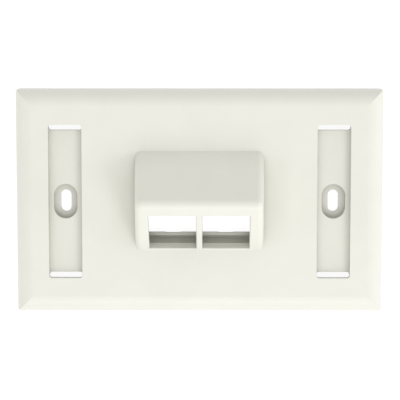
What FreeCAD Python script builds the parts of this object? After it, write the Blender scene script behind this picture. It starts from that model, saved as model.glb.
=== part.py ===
"""Keystone faceplate: a one-gang wall plate moulded in one piece.

A plate with rolled, mitred edges carries an angled hood in its middle. Two keystone jacks
push into the hood side by side and face down and outwards. A label recess stands each side
of the hood, with a slot for the snap of a label cover at each end and a slotted,
counterbored screw hole in its middle. The back is hollow.

Frame: X along the plate, Y up the wall, Z out of the wall. The wall plane is Z = 0, and the
origin is the middle of the plate there. Lengths are in millimetres and angles in degrees.
"""
import FreeCAD, Part

import math
import os
import re

import Sketcher

SIZES = {
    # plate
    "plate_length": 114.3,
    "plate_height": 69.85,
    "plate_depth": 6.0,
    "corner_round": 1.4,
    "roll_run": 5.2,
    "roll_drop": 4.5,
    "front_wall": 2.2,
    "rim_wall": 2.0,
    "cavity_round": 2.8,
    # label recesses
    "screw_spacing": 83.34,
    "recess_width": 10.3,
    "recess_length": 47.8,
    "recess_depth": 2.0,
    "recess_floor": 1.6,
    "recess_wall": 1.5,
    "recess_round": 0.8,
    "snap_slot": 1.7,
    # screw slots, run up the plate
    "slot_width": 3.3,
    "slot_length": 6.8,
    "bore_width": 7.3,
    "bore_depth": 2.2,
    "boss_wall": 1.3,
    "boss_gap": 0.6,
    # hood
    "hood_lift": 0.33,
    "hood_width": 40.0,
    "hood_base": 30.9,
    "hood_height": 15.6,
    "hood_draft": 2.4,
    "ridge_round": 2.4,
    "side_round": 2.0,
    "hood_wall": 2.0,
    "face_angle": 45.0,
    "face_wall": 2.4,
    # jack ports
    "port_width": 14.6,
    "port_height": 16.3,
    "port_pitch": 16.45,
    "port_sill": 0.7,
    "port_round": 0.4,
    # catches and guides for the jacks
    "catch_length": 3.5,
    "catch_depth": 2.0,
    "catch_floor": 1.6,
    "catch_lip": 0.9,
    "catch_slant": 0.6,
    "notch_width": 4.6,
    "notch_depth": 0.25,
    "ledge_distance": 7.2,
    "ledge_thickness": 1.5,
    "guide_length": 5.0,
    "guide_thickness": 1.2,
    "guide_inset": 2.6,
    "guide_gap": 0.3,
    # back
    "back_gap": 0.5,
    "rib_thickness": 1.2,
    "rib_offset": 28.5,
    "rib_gap": 1.6,
}
SPARE = 1.0  # how far a cutting outline runs past the material
NEAR = 0.01  # places no further apart than this are one place

# The port face rises from the hood's foot at face_angle, and the jacks slide in at right
# angles to it. The slope is the hood's other face, from the ridge down to the plate.
FACE = "(face_angle * 1 deg)"
FACE_HEIGHT = f"(hood_height / sin({FACE}))"
FOOT = "(hood_lift - hood_base / 2)"
TOP = "(hood_lift + hood_base / 2)"
SLOPE = f"atan(hood_height / (hood_base - hood_height / tan({FACE})))"
RIDGE = f"({FACE} + {SLOPE})"
UNDERSIDE = "(plate_depth - front_wall)"
MID_WALL = "(plate_depth - front_wall / 2)"
FLOOR = "(plate_depth - recess_depth)"
INSIDE = ("plate_length - 2 * rim_wall", "plate_height - 2 * rim_wall")
CENTRE = ("0", "0")
SCREW = "(screw_spacing / 2)"
PORT = "(port_pitch / 2)"
# The flat of the port face beside each port, up at the ridge. A side's round stays within it.
SIDE_LAND = (f"(hood_width / 2 - hood_height * tan(hood_draft * 1 deg)"
             f" - {PORT} - port_width / 2 - port_round)")

doc = FreeCAD.newDocument("KeystoneFaceplate")
sheet = doc.addObject("Spreadsheet::Sheet", "Sizes")
for row, (alias, size) in enumerate(SIZES.items(), start=1):
    sheet.set(f"A{row}", alias)
    sheet.set(f"B{row}", str(size))
    sheet.setAlias(f"B{row}", alias)
doc.recompute()

body = doc.addObject("PartDesign::Body", "faceplate")
body.Label = "faceplate"
body.Placement = FreeCAD.Placement()
PLANES = {feature.Role: feature for feature in body.Origin.OriginFeatures}


def bound(text):
    """The formula with each size written as the sheet's alias."""
    return re.sub(r"[a-z]+(?:_[a-z]+)+", lambda word: "Sizes." + word.group(), text)


def value(text):
    """The formula's present value."""
    result = body.evalExpression(bound(text))
    return getattr(result, "Value", result)


def sketch_on(name, plane, lift="0"):
    """A sketch on one of the body's own planes, or lifted off it."""
    sketch = body.newObject("Sketcher::SketchObject", name)
    sketch.AttachmentSupport = [(PLANES[plane], "")]
    sketch.MapMode = "FlatFace"
    sketch.setExpression("AttachmentOffset.Base.z", bound(lift))
    return sketch


def sketch_on_face(name, into):
    """A sketch parallel to the port face and `into` the hood from it; its Y runs up the face."""
    sketch = sketch_on(name, "XY_Plane")
    foot_y, foot_z = on_face("0", into)
    sketch.AttachmentOffset = FreeCAD.Placement(FreeCAD.Vector(0, value(foot_y), value(foot_z)),
                                                FreeCAD.Rotation(FreeCAD.Vector(1, 0, 0), value(FACE)))
    sketch.setExpression("AttachmentOffset.Base.y", bound(foot_y))
    sketch.setExpression("AttachmentOffset.Base.z", bound(foot_z))
    sketch.setExpression("AttachmentOffset.Rotation.Angle", bound(FACE))
    return sketch


def pin(sketch, item, end, *places):
    """Tie a point's two coordinates to formulas; a formula of None leaves one free."""
    for kind, place in zip(("DistanceX", "DistanceY"), places):
        if place is None:
            continue
        index = sketch.addConstraint(Sketcher.Constraint(kind, -1, 1, item, end, value(place)))
        name = f"{kind}{index}"
        sketch.renameConstraint(index, name)
        sketch.setExpression(f"Constraints.{name}", bound(place))


def join(sketch, first, first_end, second, second_end, kind="Coincident"):
    sketch.addConstraint(Sketcher.Constraint(kind, first, first_end, second, second_end))


def point(place):
    return FreeCAD.Vector(value(place[0]), value(place[1]), 0)


def add_polygon(sketch, corners):
    """A closed polygon; each corner is a pair of formulas."""
    lines = []
    for start, end in zip(corners, corners[1:] + corners[:1]):
        lines.append(sketch.addGeometry(Part.LineSegment(point(start), point(end)), False))
    for line, following, corner in zip(lines, lines[1:] + lines[:1], corners):
        join(sketch, line, 2, following, 1)
        pin(sketch, line, 1, *corner)


def rectangle(middle, width, height):
    """The four corners of a rectangle, anticlockwise."""
    left = f"{middle[0]} - ({width}) / 2"
    right = f"{middle[0]} + ({width}) / 2"
    low = f"{middle[1]} - ({height}) / 2"
    high = f"{middle[1]} + ({height}) / 2"
    return [(left, low), (right, low), (right, high), (left, high)]


def add_belt(sketch, centres, radius):
    """The outline of a tight belt round equal circles, whose centres are given anticlockwise."""
    reach = value(radius)
    arcs = []
    lines = []
    following = centres[1:] + centres[:1]
    previous = centres[-1:] + centres[:-1]
    for before, here, after in zip(previous, centres, following):
        arrival = point(here) - point(before)
        departure = point(after) - point(here)
        start = math.atan2(arrival.y, arrival.x) - math.pi / 2
        end = math.atan2(departure.y, departure.x) - math.pi / 2
        if end < start:
            end += 2 * math.pi
        circle = Part.Circle(point(here), FreeCAD.Vector(0, 0, 1), reach)
        arcs.append(sketch.addGeometry(Part.ArcOfCircle(circle, start, end), False))
        pin(sketch, arcs[-1], 3, *here)
        out = FreeCAD.Vector(math.cos(end), math.sin(end), 0) * reach
        lines.append(sketch.addGeometry(Part.LineSegment(point(here) + out, point(after) + out), False))
        index = sketch.addConstraint(Sketcher.Constraint("Radius", arcs[-1], reach))
        sketch.renameConstraint(index, f"Radius{index}")
        sketch.setExpression(f"Constraints.Radius{index}", bound(radius))
    for arc, line, next_arc in zip(arcs, lines, arcs[1:] + arcs[:1]):
        join(sketch, arc, 2, line, 1, "Tangent")
        join(sketch, line, 2, next_arc, 1, "Tangent")


def add_rounded(sketch, middle, width, height, radius):
    """A rectangle with its corners rounded."""
    add_belt(sketch, rectangle(middle, f"{width} - 2 * {radius}", f"{height} - 2 * {radius}"), radius)


def add_slot(sketch, middle, width, length):
    """A slot that runs along the sketch's second axis, with round ends."""
    half_run = f"({length} - {width}) / 2"
    add_belt(sketch, [(middle, half_run), (middle, f"-{half_run}")], f"({width} / 2)")


def add_roll(sketch, half, side):
    """The corner of material outside the rolled edge, where the front turns into the side."""
    radius = "((roll_run * roll_run + roll_drop * roll_drop) / (2 * roll_drop))"
    centre = (f"{side} * ({half} - roll_run)", f"plate_depth - {radius}")
    top = (centre[0], "plate_depth")
    foot = (f"{side} * {half}", "plate_depth - roll_drop")
    outside = f"{side} * ({half} + {SPARE})"
    above = f"plate_depth + {SPARE}"
    corners = [foot, (outside, foot[1]), (outside, above), (top[0], above), top]
    low_turn = math.asin(1 - value("roll_drop") / value(radius))
    turns = (low_turn, math.pi / 2) if side > 0 else (math.pi / 2, math.pi - low_turn)
    circle = Part.Circle(point(centre), FreeCAD.Vector(0, 0, 1), value(radius))
    arc = sketch.addGeometry(Part.ArcOfCircle(circle, *turns), False)
    foot_end, top_end = (1, 2) if side > 0 else (2, 1)
    lines = [sketch.addGeometry(Part.LineSegment(point(a), point(b)), False)
             for a, b in zip(corners, corners[1:])]
    pin(sketch, arc, 3, *centre)
    pin(sketch, arc, foot_end, *foot)
    pin(sketch, arc, top_end, top[0], None)
    join(sketch, arc, foot_end, lines[0], 1)
    join(sketch, lines[-1], 2, arc, top_end)
    for line, following, corner in zip(lines, lines[1:], corners[1:]):
        join(sketch, line, 2, following, 1)
        pin(sketch, following, 1, *corner)


def extrude(kind, name, sketch, length, symmetric=False, flip=False):
    """A Pad or a Pocket of the sketch, checked to have added or removed material."""
    before = body.Shape.Volume if body.Tip else 0
    feature = body.newObject(f"PartDesign::{kind}", name)
    feature.Profile = sketch
    feature.Reversed = flip
    if symmetric:
        feature.SideType = "Symmetric"
    feature.setExpression("Length", bound(length))
    doc.recompute()
    change = feature.Shape.Volume - before
    if change * (1 if kind == "Pad" else -1) <= 0:
        raise RuntimeError(f"{name} changed the volume by {change:.1f}")
    return feature


def edges_where(shape, test):
    """Names of the edges whose ends all pass the test."""
    return [f"Edge{number}" for number, edge in enumerate(shape.Edges, start=1)
            if test([vertex.Point for vertex in edge.Vertexes])]


def fillet(name, edges, radius):
    base = body.Tip
    feature = body.newObject("PartDesign::Fillet", name)
    feature.Base = (base, edges)
    feature.setExpression("Radius", bound(radius))
    doc.recompute()
    return feature


def on_face(up, into):
    """The place (Y, Z) that lies `up` the port face from its foot and `into` the hood."""
    return (f"{FOOT} + ({up}) * cos({FACE}) + ({into}) * sin({FACE})",
            f"plate_depth + ({up}) * sin({FACE}) - ({into}) * cos({FACE})")


def under_ridge(wall, into):
    """The place `into` the hood that lies `wall` under the slope's outer surface."""
    return on_face(f"{FACE_HEIGHT} + ({into}) / tan({RIDGE}) - ({wall}) / sin({RIDGE})", into)


def slope_at(wall, height):
    """The Y at which the surface `wall` under the slope comes down to a height."""
    return f"({TOP} - (({height}) - plate_depth) / tan({SLOPE}) - ({wall}) / sin({SLOPE}))"


def plate_blank():
    plan = sketch_on("PlatePlan", "XY_Plane")
    add_polygon(plan, rectangle(CENTRE, "plate_length", "plate_height"))
    extrude("Pad", "Plate", plan, "plate_depth")
    upright = edges_where(body.Shape, lambda ends: abs(ends[0].z - ends[1].z) > NEAR)
    fillet("PlateCorners", upright, "corner_round")
    for name, plane, half, span in (("LongRolls", "YZ_Plane", "plate_height / 2", "plate_length"),
                                    ("EndRolls", "XZ_Plane", "plate_length / 2", "plate_height")):
        profile = sketch_on(name + "Profile", plane)
        for side in (1, -1):
            add_roll(profile, half, side)
        extrude("Pocket", name, profile, f"{span} + {SPARE}", symmetric=True)


def hollow_back():
    plan = sketch_on("CavityPlan", "XY_Plane")
    add_polygon(plan, rectangle(CENTRE, *INSIDE))
    extrude("Pocket", "Cavity", plan, UNDERSIDE, flip=True)
    ceiling = value(UNDERSIDE)
    border = edges_where(body.Shape, lambda ends: all(abs(end.z - ceiling) < NEAR for end in ends))
    fillet("CavityRound", border, "cavity_round")


def faces_where(shape, test):
    """Names of the faces that pass the test."""
    return [f"Face{number}" for number, face in enumerate(shape.Faces, start=1) if test(face)]


def hood_outside():
    """The hood: a ridge between the slope and the port face, with drafted sides and rounded edges."""
    profile = sketch_on("HoodProfile", "YZ_Plane")
    add_polygon(profile, [(FOOT, MID_WALL), (TOP, MID_WALL), (TOP, "plate_depth"),
                          on_face(FACE_HEIGHT, "0"), on_face("0", "0")])
    hood = extrude("Pad", "Hood", profile, "hood_width", symmetric=True)
    half = value("hood_width / 2")
    front = value("plate_depth")
    sides = faces_where(hood.Shape, lambda face: abs(abs(face.CenterOfMass.x) - half) < NEAR)
    fronts = faces_where(hood.Shape, lambda face: face.BoundBox.ZMin > front - NEAR
                         and face.BoundBox.ZLength < NEAR)
    draft = body.newObject("PartDesign::Draft", "HoodDraft")
    draft.Base = (hood, sides)
    draft.NeutralPlane = (hood, fronts[:1])
    draft.setExpression("Angle", bound("hood_draft"))
    doc.recompute()
    top = front + value("hood_height")
    ridge = edges_where(body.Shape, lambda ends: all(abs(end.z - top) < NEAR for end in ends))
    fillet("RidgeRound", ridge, "ridge_round")
    edges = edges_where(body.Shape, lambda ends: min(end.z for end in ends) > front - NEAR
                        and max(end.z for end in ends) > front + NEAR
                        and ends[0].x * ends[-1].x > 0)
    fillet("SideRounds", edges, f"min(side_round; 0.9 * {SIDE_LAND})")


def hood_inside():
    """The hood is a shell that opens at the back, with a collar round the opening."""
    low = f"({FOOT} - hood_wall)"
    high = slope_at("hood_wall", UNDERSIDE)
    plan = sketch_on("CollarPlan", "XY_Plane")
    top = f"({high} + hood_wall)"
    add_polygon(plan, rectangle(("0", f"({low} + {top}) / 2"), "hood_width", f"({top} - {low})"))
    extrude("Pad", "Collar", plan, MID_WALL)
    corner = f"(face_wall * cos({FACE}) - front_wall) / sin({FACE})"
    profile = sketch_on("HollowProfile", "YZ_Plane")
    add_polygon(profile, [(low, f"-{SPARE}"), (high, f"-{SPARE}"), (high, UNDERSIDE),
                          under_ridge("hood_wall", "face_wall"), on_face(corner, "face_wall"),
                          (low, UNDERSIDE)])
    extrude("Pocket", "Hollow", profile, "hood_width - 2 * hood_wall", symmetric=True)


def jack_web():
    """The web between the two jacks, from the port face to the back."""
    top = slope_at("hood_wall / 2", MID_WALL)
    profile = sketch_on("WebProfile", "YZ_Plane")
    add_polygon(profile, [(FOOT, "0"), (top, "0"), (top, MID_WALL),
                          under_ridge("hood_wall / 2", "face_wall / 2"),
                          on_face("0", "face_wall / 2"), (FOOT, MID_WALL)])
    extrude("Pad", "Web", profile, "port_pitch - port_width", symmetric=True)


def jack_catches():
    """Under each jack a groove between two lips takes its fixed hook; a ledge above takes its latch.

    The rear lip slants down to the groove and is notched in its middle.
    """
    floor = "(port_sill - catch_depth - catch_floor)"
    groove = "(port_sill - catch_depth)"
    lip = "(face_wall + catch_length)"
    rear = f"({lip} + catch_lip)"
    buried = f"({floor} * sin({FACE}) + front_wall / 2) / cos({FACE})"
    inner_width = "hood_width - hood_wall"
    profile = sketch_on("CatchProfile", "YZ_Plane")
    add_polygon(profile, [on_face("port_sill", "face_wall / 2"), on_face("port_sill", "face_wall"),
                          on_face(groove, "face_wall"), on_face(groove, lip),
                          on_face("port_sill - catch_slant", lip), on_face("port_sill", rear),
                          on_face(floor, rear), on_face(floor, buried)])
    extrude("Pad", "Catches", profile, inner_width, symmetric=True)
    notches = sketch_on_face("NotchProfile", lip)
    for side in (1, -1):
        middle = (f"{side} * {PORT}", "port_sill")
        add_polygon(notches, rectangle(middle, "notch_width", "2 * notch_depth"))
    extrude("Pocket", "CatchNotches", notches, f"catch_lip + {SPARE}")
    top = "(port_sill + port_height)"
    buried = f"({FACE_HEIGHT} - hood_wall / 2)"
    rear = "(ledge_distance + ledge_thickness)"
    profile = sketch_on("LedgeProfile", "YZ_Plane")
    add_polygon(profile, [on_face(top, "ledge_distance"), on_face(top, rear),
                          on_face(buried, rear), on_face(buried, "ledge_distance")])
    extrude("Pad", "Ledges", profile, inner_width, symmetric=True)


def jack_guides():
    """Bars on the hood's side walls, just outside the ports' edges, that keep the jacks straight."""
    edge = f"({PORT} + port_width / 2 + guide_gap)"
    starts = ("(port_sill + guide_inset)", "(port_sill + port_height - guide_inset - guide_thickness)")
    rear = "face_wall + guide_length"
    for side, name in ((1, "RightGuides"), (-1, "LeftGuides")):
        profile = sketch_on(name + "Profile", "YZ_Plane", f"{side} * {edge}")
        for low in starts:
            high = f"({low} + guide_thickness)"
            add_polygon(profile, [on_face(low, "face_wall / 2"), on_face(low, rear),
                                  on_face(high, rear), on_face(high, "face_wall / 2")])
        extrude("Pad", name, profile, f"hood_width / 2 - hood_wall / 2 - {edge}", flip=side < 0)


def jack_ports():
    """The two openings in the port face, with their front edges rounded."""
    openings = sketch_on_face("PortOutlines", "0")
    for side in (1, -1):
        middle = (f"{side} * {PORT}", "(port_sill + port_height / 2)")
        add_polygon(openings, rectangle(middle, "port_width", "port_height"))
    extrude("Pocket", "Ports", openings, "face_wall")
    half = value(f"{PORT} + port_width / 2")
    foot_y, foot_z = (value(place) for place in on_face("0", "0"))
    angle = math.radians(value("face_angle"))

    def round_a_port(ends):
        depths = [(end.y - foot_y) * math.sin(angle) - (end.z - foot_z) * math.cos(angle) for end in ends]
        return max(map(abs, depths)) < NEAR and max(abs(end.x) for end in ends) < half + NEAR

    fillet("PortRounds", edges_where(body.Shape, round_a_port), "port_round")


def wall_clearance():
    """Nothing inside the rim comes nearer the wall than back_gap."""
    plan = sketch_on("ClearancePlan", "XY_Plane", "back_gap")
    add_polygon(plan, rectangle(CENTRE, *(f"({length} - {SPARE})" for length in INSIDE)))
    extrude("Pocket", "WallClearance", plan, "back_gap + hood_height")


def label_recesses():
    """A shallow recess each side of the hood, boxed in behind, with a snap slot at each end."""
    trough = sketch_on("TroughPlan", "XY_Plane", f"{FLOOR} - recess_floor")
    recess = sketch_on("RecessPlan", "XY_Plane", "plate_depth")
    slots = sketch_on("SnapSlotPlan", "XY_Plane", "plate_depth")
    for side in (1, -1):
        middle = (f"{side} * {SCREW}", "0")
        trough_width = "recess_width + 2 * recess_wall"
        add_polygon(trough, rectangle(middle, trough_width, "recess_length - snap_slot"))
        add_rounded(recess, middle, "recess_width", "recess_length", "recess_round")
        for end in (1, -1):
            place = (middle[0], f"{end} * (recess_length - snap_slot) / 2")
            add_rounded(slots, place, "recess_width", "snap_slot", "recess_round")
    extrude("Pad", "Troughs", trough, f"{MID_WALL} - {FLOOR} + recess_floor")
    extrude("Pocket", "Recesses", recess, "recess_depth")
    extrude("Pocket", "SnapSlots", slots, f"plate_depth + {SPARE}")


def screw_slots():
    """A slotted screw hole through each recess, counterbored from the front, in a boss behind."""
    boss = sketch_on("BossPlan", "XY_Plane", "boss_gap")
    bore = sketch_on("BorePlan", "XY_Plane", FLOOR)
    slot = sketch_on("SlotPlan", "XY_Plane", FLOOR)
    for side in (1, -1):
        middle = f"{side} * {SCREW}"
        add_slot(boss, middle, "(bore_width + 2 * boss_wall)",
                 "(slot_length - slot_width + bore_width + 2 * boss_wall)")
        add_slot(bore, middle, "bore_width", "(slot_length - slot_width + bore_width)")
        add_slot(slot, middle, "slot_width", "slot_length")
    extrude("Pad", "Bosses", boss, f"{FLOOR} - recess_floor / 2 - boss_gap")
    extrude("Pocket", "ScrewSlots", slot, f"{FLOOR} - boss_gap + {SPARE}")
    extrude("Pocket", "Counterbores", bore, "bore_depth")


def stiffening_ribs():
    """Two ribs along the hollow back, clear of the wall, from rim to rim."""
    plan = sketch_on("RibPlan", "XY_Plane", "rib_gap")
    for side in (1, -1):
        add_polygon(plan, rectangle(("0", f"{side} * rib_offset"), INSIDE[0], "rib_thickness"))
    extrude("Pad", "Ribs", plan, f"{UNDERSIDE} + front_wall / 4 - rib_gap")


def write_parts():
    """Each sub-part's shape goes to its own file, once nothing in the document has failed."""
    doc.recompute()
    failed = [item.Label for item in doc.Objects if {"Invalid", "Error"} & set(item.State)]
    if failed:
        raise RuntimeError(f"not rebuilt: {', '.join(failed)}")
    os.makedirs("parts", exist_ok=True)
    for part in (body,):
        if part.Shape.isNull() or not part.Shape.isValid():
            raise RuntimeError(f"{part.Label} has no valid shape")
        part.Shape.exportStep(f"parts/{part.Label}.step")
        print(part.Label, len(part.Shape.Solids), "solid", round(part.Shape.Volume, 1), "mm3",
              len(part.Shape.Faces), "faces")


plate_blank()
hollow_back()
hood_outside()
hood_inside()
jack_web()
jack_catches()
jack_guides()
jack_ports()
label_recesses()
screw_slots()
stiffening_ribs()
wall_clearance()
write_parts()
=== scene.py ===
"""Blender scene for the keystone faceplate: its plastic, the floor, the light and the camera.

The plate lies on its back in the CAD model's frame: X along the plate, Y up the wall, Z out of
the wall. Lengths are in metres unless a name says otherwise.
"""
import math

import bpy
from mathutils import Matrix, Vector


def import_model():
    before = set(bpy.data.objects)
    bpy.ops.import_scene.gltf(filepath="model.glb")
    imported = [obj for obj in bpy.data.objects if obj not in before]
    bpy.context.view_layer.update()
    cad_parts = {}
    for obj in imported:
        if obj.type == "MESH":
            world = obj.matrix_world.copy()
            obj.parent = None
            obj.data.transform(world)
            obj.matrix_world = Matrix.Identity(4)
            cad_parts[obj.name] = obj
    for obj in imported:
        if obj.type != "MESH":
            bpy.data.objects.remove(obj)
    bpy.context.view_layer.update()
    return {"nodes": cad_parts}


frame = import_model()

MM = 0.001

# Camera: aimed at a point on the plate, a little from above and from the right.
CAMERA_TARGET = Vector((0.165, 0.263, 3.0)) * MM
CAMERA_DISTANCE = 0.5
CAMERA_RISE = math.radians(6.24)
CAMERA_SWING = math.radians(0.41)
FOCAL_LENGTH_MM = 144.25
SENSOR_WIDTH_MM = 36.0
CLIP_START = 0.01
CLIP_END = 20.0

# Off-white moulded plastic. Colours are linear.
PLASTIC = (0.84, 0.838, 0.76)
ROUGHNESS = (0.34, 0.42)
# Painted shade in crevices: the reach of a crevice, and the shade painted into the plastic's colour where it
# is wholly closed in.
CREVICE_PAINTED_SHADES = {2.0 * MM: (0.90, 0.90, 0.90), 10.0 * MM: (0.64, 0.64, 0.64)}
PAINTED_SHADE_SAMPLES = 16
EDGE_ROUND = 0.25 * MM
EDGE_SAMPLES = 8
# Fine grain in the skin, and slow waves left by the flow of the plastic in its mould.
GRAIN_SIZE = 0.35 * MM
GRAIN_HEIGHT = 0.006 * MM
GRAIN_DETAIL = 3.0
WAVE_SIZE = 9.0 * MM
WAVE_HEIGHT = 0.010 * MM
WAVE_DETAIL = 2.0
TINT_AMOUNT = 0.012  # how far the waves change the colour, either way
NOISE_RANGE = (0.3, 0.7)  # nearly all of a noise texture lies within this

# Seen directly, the floor glows white under a trace of shade. To bounced light it is plain pale matt.
FLOOR_SIZE = 6.0
FLOOR_COLOUR = (0.9, 0.9, 0.9, 1.0)
FLOOR_SHADED = (0.16, 0.16, 0.16, 1.0)
FLOOR_GLOW = 0.93
WHITE = (1, 1, 1, 1)

# Light: a soft dome and five large soft lamps, set out round the plate at equal distance.
WORLD_STRENGTH = 0.724
LAMP_DISTANCE = 1.2
LAMP_SIZE = 0.5
GRAZING = 30  # a lamp lower than this, in degrees, would glare in the plate's front
LAMPS = {
    # name: (azimuth and elevation in degrees, power in watts)
    "front_right": (315, 38, 2.35),
    "front": (270, 38, 1.42),
    "front_high": (270, 65, 1.30),
    "right": (0, 12, 2.00),
    "left": (180, 12, 1.20),
}


class Nodes:
    """Makes a node tree in few words: a value or a socket goes to each input by name or number."""

    def __init__(self, tree):
        self.tree = tree

    def add(self, kind, inputs=None, **settings):
        node = self.tree.nodes.new(kind)
        for name, value in settings.items():
            setattr(node, name, value)
        for name, value in (inputs or {}).items():
            if isinstance(value, bpy.types.NodeSocket):
                self.tree.links.new(value, node.inputs[name])
            else:
                node.inputs[name].default_value = value
        return node

    def noise(self, place, size, detail):
        """A noise texture's value, with features of this size."""
        node = self.add("ShaderNodeTexNoise", {"Vector": place, "Scale": 1.0 / size, "Detail": detail})
        return node.outputs["Fac"]

    def spread(self, noise, low, high):
        """A noise's value, mapped to run from low to high."""
        node = self.add("ShaderNodeMapRange", {"Value": noise, "From Min": NOISE_RANGE[0],
                                               "From Max": NOISE_RANGE[1], "To Min": low, "To Max": high})
        return node.outputs[0]

    def surface(self, shader):
        """Gives the material this shader for its surface."""
        self.tree.links.new(shader, self.tree.nodes["Material Output"].inputs["Surface"])


def node_material(name):
    """A new material and its node maker, with only the output left in it."""
    material = bpy.data.materials.new(name)
    material.use_nodes = True
    tree = material.node_tree
    for node in list(tree.nodes):
        if node.type != "OUTPUT_MATERIAL":
            tree.nodes.remove(node)
    return material, Nodes(tree)


def plastic():
    """Satin off-white plastic: fine moulded grain, faint flow marks, soft edges, and shade painted into its
    colour in crevices.
    """
    material, nodes = node_material("body_plastic")
    place = nodes.add("ShaderNodeTexCoord").outputs["Object"]
    flow = nodes.noise(place, WAVE_SIZE, WAVE_DETAIL)
    grain = nodes.noise(place, GRAIN_SIZE, GRAIN_DETAIL)

    tint = nodes.spread(flow, 1.0 - TINT_AMOUNT, 1.0 + TINT_AMOUNT)
    tinted = nodes.add("ShaderNodeVectorMath", {0: PLASTIC, "Scale": tint}, operation="SCALE")
    colour = tinted.outputs[0]
    # Painted shade: the colour is multiplied darker where nearby surfaces hide the sky, in corners and
    # recesses.
    for reach, painted_shade in CREVICE_PAINTED_SHADES.items():
        share = nodes.add("ShaderNodeAmbientOcclusion", {"Distance": reach},
                          samples=PAINTED_SHADE_SAMPLES, only_local=True)
        painted_shade_mix = nodes.add("ShaderNodeMix", {"Factor": share.outputs["AO"], "A": painted_shade, "B": (1, 1, 1)},
                          data_type="VECTOR")
        shaded = nodes.add("ShaderNodeVectorMath", {0: colour, 1: painted_shade_mix.outputs[1]}, operation="MULTIPLY")
        colour = shaded.outputs[0]

    gloss = nodes.spread(grain, *ROUGHNESS)
    edges = nodes.add("ShaderNodeBevel", {"Radius": EDGE_ROUND}, samples=EDGE_SAMPLES)
    waves = nodes.add("ShaderNodeBump", {"Height": flow, "Distance": WAVE_HEIGHT,
                                         "Normal": edges.outputs[0]})
    skin = nodes.add("ShaderNodeBump", {"Height": grain, "Distance": GRAIN_HEIGHT,
                                        "Normal": waves.outputs[0]})
    shader = nodes.add("ShaderNodeBsdfPrincipled", {"Base Color": colour, "Roughness": gloss,
                                                    "Normal": skin.outputs[0]})
    nodes.surface(shader.outputs["BSDF"])
    return material


def dress_plate():
    """Gives the CAD model's one node its plastic."""
    plate = frame["nodes"]["faceplate"]
    plate.data.materials.clear()
    plate.data.materials.append(plastic())


def seen_directly(nodes):
    """1 for camera, glossy and transmission rays, 0 for the rest."""
    path = nodes.add("ShaderNodeLightPath")
    glossy = nodes.add("ShaderNodeMath", {0: path.outputs["Is Camera Ray"], 1: path.outputs["Is Glossy Ray"]},
                       operation="MAXIMUM")
    clear = nodes.add("ShaderNodeMath", {0: glossy.outputs[0], 1: path.outputs["Is Transmission Ray"]},
                      operation="MAXIMUM")
    return clear.outputs[0]


def floor():
    """A plane at the plate's back, so that the plate rests on it."""
    bpy.ops.mesh.primitive_plane_add(size=FLOOR_SIZE, location=(0, 0, 0))
    plane = bpy.context.object
    plane.name = "floor"
    material, nodes = node_material("floor")
    diffuse = nodes.add("ShaderNodeBsdfDiffuse", {"Color": FLOOR_COLOUR})
    shaded = nodes.add("ShaderNodeBsdfDiffuse", {"Color": FLOOR_SHADED})
    glow = nodes.add("ShaderNodeEmission", {"Strength": FLOOR_GLOW})
    seen = nodes.add("ShaderNodeAddShader", {0: shaded.outputs[0], 1: glow.outputs[0]})
    mix = nodes.add("ShaderNodeMixShader", {0: seen_directly(nodes), 1: diffuse.outputs[0],
                                            2: seen.outputs[0]})
    nodes.surface(mix.outputs[0])
    plane.data.materials.append(material)


def world():
    """A dome of even light, plain white where it is seen."""
    sky = bpy.data.worlds.new("studio")
    bpy.context.scene.world = sky
    sky.use_nodes = True
    sky.node_tree.nodes.clear()
    nodes = Nodes(sky.node_tree)
    lit = nodes.add("ShaderNodeBackground", {"Color": WHITE, "Strength": WORLD_STRENGTH})
    white = nodes.add("ShaderNodeBackground", {"Color": WHITE, "Strength": 1.0})
    mix = nodes.add("ShaderNodeMixShader", {0: seen_directly(nodes), 1: lit.outputs[0], 2: white.outputs[0]})
    nodes.add("ShaderNodeOutputWorld", {"Surface": mix.outputs[0]})


def direction(azimuth, elevation):
    """Unit vector at these angles, in degrees, from +X round towards +Y and up."""
    turn, rise = math.radians(azimuth), math.radians(elevation)
    return Vector((math.cos(turn) * math.cos(rise), math.sin(turn) * math.cos(rise), math.sin(rise)))


def lamps():
    """Round area lamps that face the middle of the plate. The low ones don't show in its gloss."""
    for name, (azimuth, elevation, power) in LAMPS.items():
        data = bpy.data.lights.new(name, "AREA")
        data.shape = "DISK"
        data.size = LAMP_SIZE
        data.energy = power
        lamp = bpy.data.objects.new(name, data)
        lamp.visible_glossy = elevation > GRAZING
        bpy.context.scene.collection.objects.link(lamp)
        out = direction(azimuth, elevation)
        facing = out.to_track_quat("Z", "Y").to_matrix().to_4x4()
        lamp.matrix_world = Matrix.Translation(LAMP_DISTANCE * out) @ facing


def camera():
    """Looks down the plate's Z axis, tilted by the rise and the swing, with Y up in the picture."""
    data = bpy.data.cameras.new("camera")
    data.lens = FOCAL_LENGTH_MM
    data.sensor_width = SENSOR_WIDTH_MM
    data.clip_start = CLIP_START
    data.clip_end = CLIP_END
    back = Vector((math.sin(CAMERA_SWING) * math.cos(CAMERA_RISE), math.sin(CAMERA_RISE),
                   math.cos(CAMERA_SWING) * math.cos(CAMERA_RISE)))
    right = Vector((0, 1, 0)).cross(back).normalized()
    axes = Matrix((right, back.cross(right), back)).transposed()
    item = bpy.data.objects.new("camera", data)
    bpy.context.scene.collection.objects.link(item)
    item.matrix_world = Matrix.Translation(CAMERA_TARGET + CAMERA_DISTANCE * back) @ axes.to_4x4()
    bpy.context.scene.camera = item


dress_plate()
floor()
world()
lamps()
camera()
bpy.context.scene.view_settings.view_transform = "Standard"
